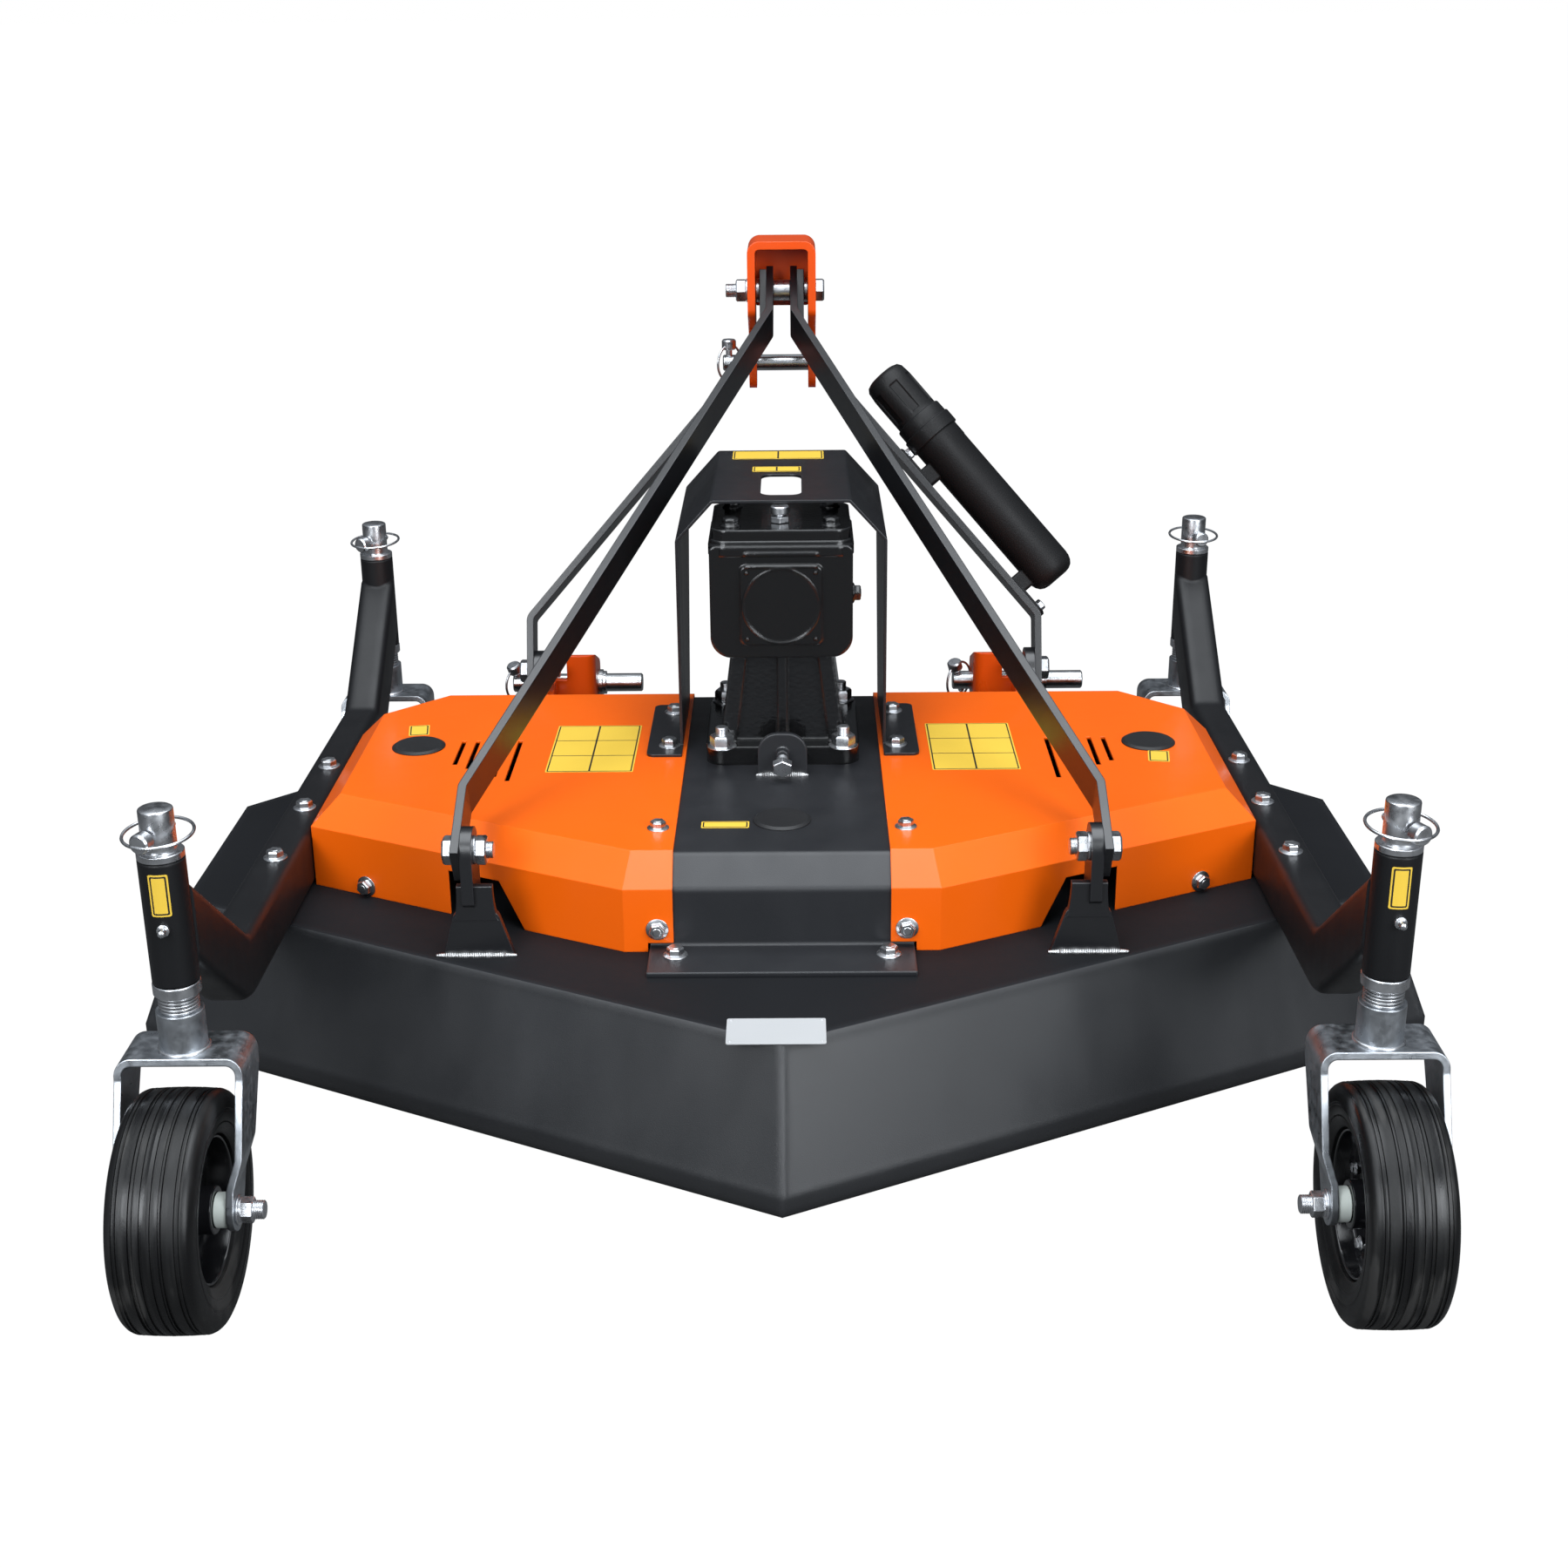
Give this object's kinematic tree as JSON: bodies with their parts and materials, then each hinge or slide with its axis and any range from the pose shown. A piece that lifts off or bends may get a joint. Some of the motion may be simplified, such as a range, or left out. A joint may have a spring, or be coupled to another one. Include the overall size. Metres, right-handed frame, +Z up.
{
  "type": "three-point-hitch finishing mower",
  "caption": "Rear finishing mower for a compact tractor: V-shaped hollow deck on caster wheels, belt covers, gearbox with shielded input shaft, A-frame and floating hitch points.",
  "frame": {"origin": "on the ground, at the middle of the machine's width and length", "axes": "+Z up, +Y forward towards the tractor, +X to the machine's right as seen from behind"},
  "size_m": [1.274, 1.1974, 0.751],
  "materials": {
    "deck_black": "satin powder coat",
    "strut_black": "satin powder coat",
    "shield_black": "satin powder coat",
    "cover_orange": "gloss powder coat",
    "link_orange": "gloss powder coat",
    "gearbox_black": "gloss paint on a casting",
    "zinc": "bright zinc plate",
    "blade_steel": "black oxide",
    "shaft_steel": "machined",
    "rim_black": "gloss",
    "tyre": "solid rubber",
    "tube_plastic": "matt moulded",
    "cap_black": "matt moulded"
  },
  "bodies": {
    "deck_frame": {"deck_shell": "deck_black", "centre_bridge": "deck_black", "wheel_arm_left": "deck_black", "wheel_arm_right": "deck_black", "belt_cover_left": "cover_orange", "belt_cover_right": "cover_orange", "spindle_caps": "cap_black", "gearbox_housing": "gearbox_black", "gearbox_cover": "gearbox_black", "pto_shield": "shield_black", "belt_tensioner": "deck_black", "rear_lug_left": "strut_black", "rear_lug_right": "strut_black", "front_lug_left": "strut_black", "front_lug_right": "strut_black", "strut_rear_left": "strut_black", "strut_rear_right": "strut_black", "strut_front_left": "strut_black", "strut_front_right": "strut_black", "top_pivot_bolt": "zinc", "strut_bolts": "zinc", "hitch_pivot_left": "zinc", "hitch_pivot_right": "zinc", "spindle_housings": "gearbox_black", "manual_tube": "tube_plastic", "manual_tube_cap": "tube_plastic"},
    "blade_left": {"blade_left": "blade_steel"},
    "blade_centre": {"blade_centre": "blade_steel"},
    "blade_right": {"blade_right": "blade_steel"},
    "input_shaft": {"input_shaft": "shaft_steel"},
    "top_bracket": {"top_link_bracket": "link_orange", "top_link_pin": "zinc"},
    "hitch_left": {"hitch_link_left": "link_orange", "hitch_pin_left": "zinc"},
    "hitch_right": {"hitch_link_right": "link_orange", "hitch_pin_right": "zinc"},
    "caster_rear_left": {"caster_fork_rear_left": "zinc", "caster_pivot_rear_left": "zinc", "wheel_axle_rear_left": "zinc"},
    "wheel_rear_left": {"wheel_rim_rear_left": "rim_black", "tyre_rear_left": "tyre"},
    "caster_rear_right": {"caster_fork_rear_right": "zinc", "caster_pivot_rear_right": "zinc", "wheel_axle_rear_right": "zinc"},
    "wheel_rear_right": {"wheel_rim_rear_right": "rim_black", "tyre_rear_right": "tyre"},
    "caster_front_left": {"caster_fork_front_left": "zinc", "caster_pivot_front_left": "zinc", "wheel_axle_front_left": "zinc"},
    "wheel_front_left": {"wheel_rim_front_left": "rim_black", "tyre_front_left": "tyre"},
    "caster_front_right": {"caster_fork_front_right": "zinc", "caster_pivot_front_right": "zinc", "wheel_axle_front_right": "zinc"},
    "wheel_front_right": {"wheel_rim_front_right": "rim_black", "tyre_front_right": "tyre"}
  },
  "joints": [
    {"name": "caster_swivel_rear_left", "type": "hinge", "parent": "deck_frame", "child": "caster_rear_left", "pos_m": [-0.49, -0.442, 0.3], "axis": [0, 0, 1], "continuous": true},
    {"name": "wheel_spin_rear_left", "type": "hinge", "parent": "caster_rear_left", "child": "wheel_rear_left", "pos_m": [-0.49, -0.498, 0.1], "axis": [1, 0, 0], "continuous": true},
    {"name": "caster_swivel_rear_right", "type": "hinge", "parent": "deck_frame", "child": "caster_rear_right", "pos_m": [0.49, -0.442, 0.3], "axis": [0, 0, 1], "continuous": true},
    {"name": "wheel_spin_rear_right", "type": "hinge", "parent": "caster_rear_right", "child": "wheel_rear_right", "pos_m": [0.49, -0.498, 0.1], "axis": [1, 0, 0], "continuous": true},
    {"name": "caster_swivel_front_left", "type": "hinge", "parent": "deck_frame", "child": "caster_front_left", "pos_m": [-0.49, 0.479, 0.3], "axis": [0, 0, 1], "continuous": true},
    {"name": "wheel_spin_front_left", "type": "hinge", "parent": "caster_front_left", "child": "wheel_front_left", "pos_m": [-0.49, 0.423, 0.1], "axis": [1, 0, 0], "continuous": true},
    {"name": "caster_swivel_front_right", "type": "hinge", "parent": "deck_frame", "child": "caster_front_right", "pos_m": [0.49, 0.479, 0.3], "axis": [0, 0, 1], "continuous": true},
    {"name": "wheel_spin_front_right", "type": "hinge", "parent": "caster_front_right", "child": "wheel_front_right", "pos_m": [0.49, 0.423, 0.1], "axis": [1, 0, 0], "continuous": true},
    {"name": "blade_spin_left", "type": "hinge", "parent": "deck_frame", "child": "blade_left", "pos_m": [-0.385, 0.11, 0.1], "axis": [0, 0, 1], "continuous": true},
    {"name": "blade_spin_centre", "type": "hinge", "parent": "deck_frame", "child": "blade_centre", "pos_m": [0, -0.096, 0.1], "axis": [0, 0, 1], "continuous": true},
    {"name": "blade_spin_right", "type": "hinge", "parent": "deck_frame", "child": "blade_right", "pos_m": [0.385, 0.11, 0.1], "axis": [0, 0, 1], "continuous": true},
    {"name": "input_shaft_spin", "type": "hinge", "parent": "deck_frame", "child": "input_shaft", "pos_m": [0, 0.2, 0.448], "axis": [0, 1, 0], "continuous": true},
    {"name": "top_bracket_swing", "type": "hinge", "parent": "deck_frame", "child": "top_bracket", "pos_m": [0, 0.558, 0.691], "axis": [1, 0, 0], "range_deg": [0, 35]},
    {"name": "hitch_float_left", "type": "hinge", "parent": "deck_frame", "child": "hitch_left", "pos_m": [-0.289, 0.403, 0.226], "axis": [1, 0, 0], "range_deg": [0, 18]},
    {"name": "hitch_float_right", "type": "hinge", "parent": "deck_frame", "child": "hitch_right", "pos_m": [0.289, 0.403, 0.226], "axis": [1, 0, 0], "range_deg": [0, 18]}
  ],
  "couplings": [
    {"joint": "blade_spin_left", "follows": "blade_spin_centre", "ratio": 1},
    {"joint": "blade_spin_right", "follows": "blade_spin_centre", "ratio": 1},
    {"joint": "input_shaft_spin", "follows": "blade_spin_centre", "ratio": 0.18}
  ]
}
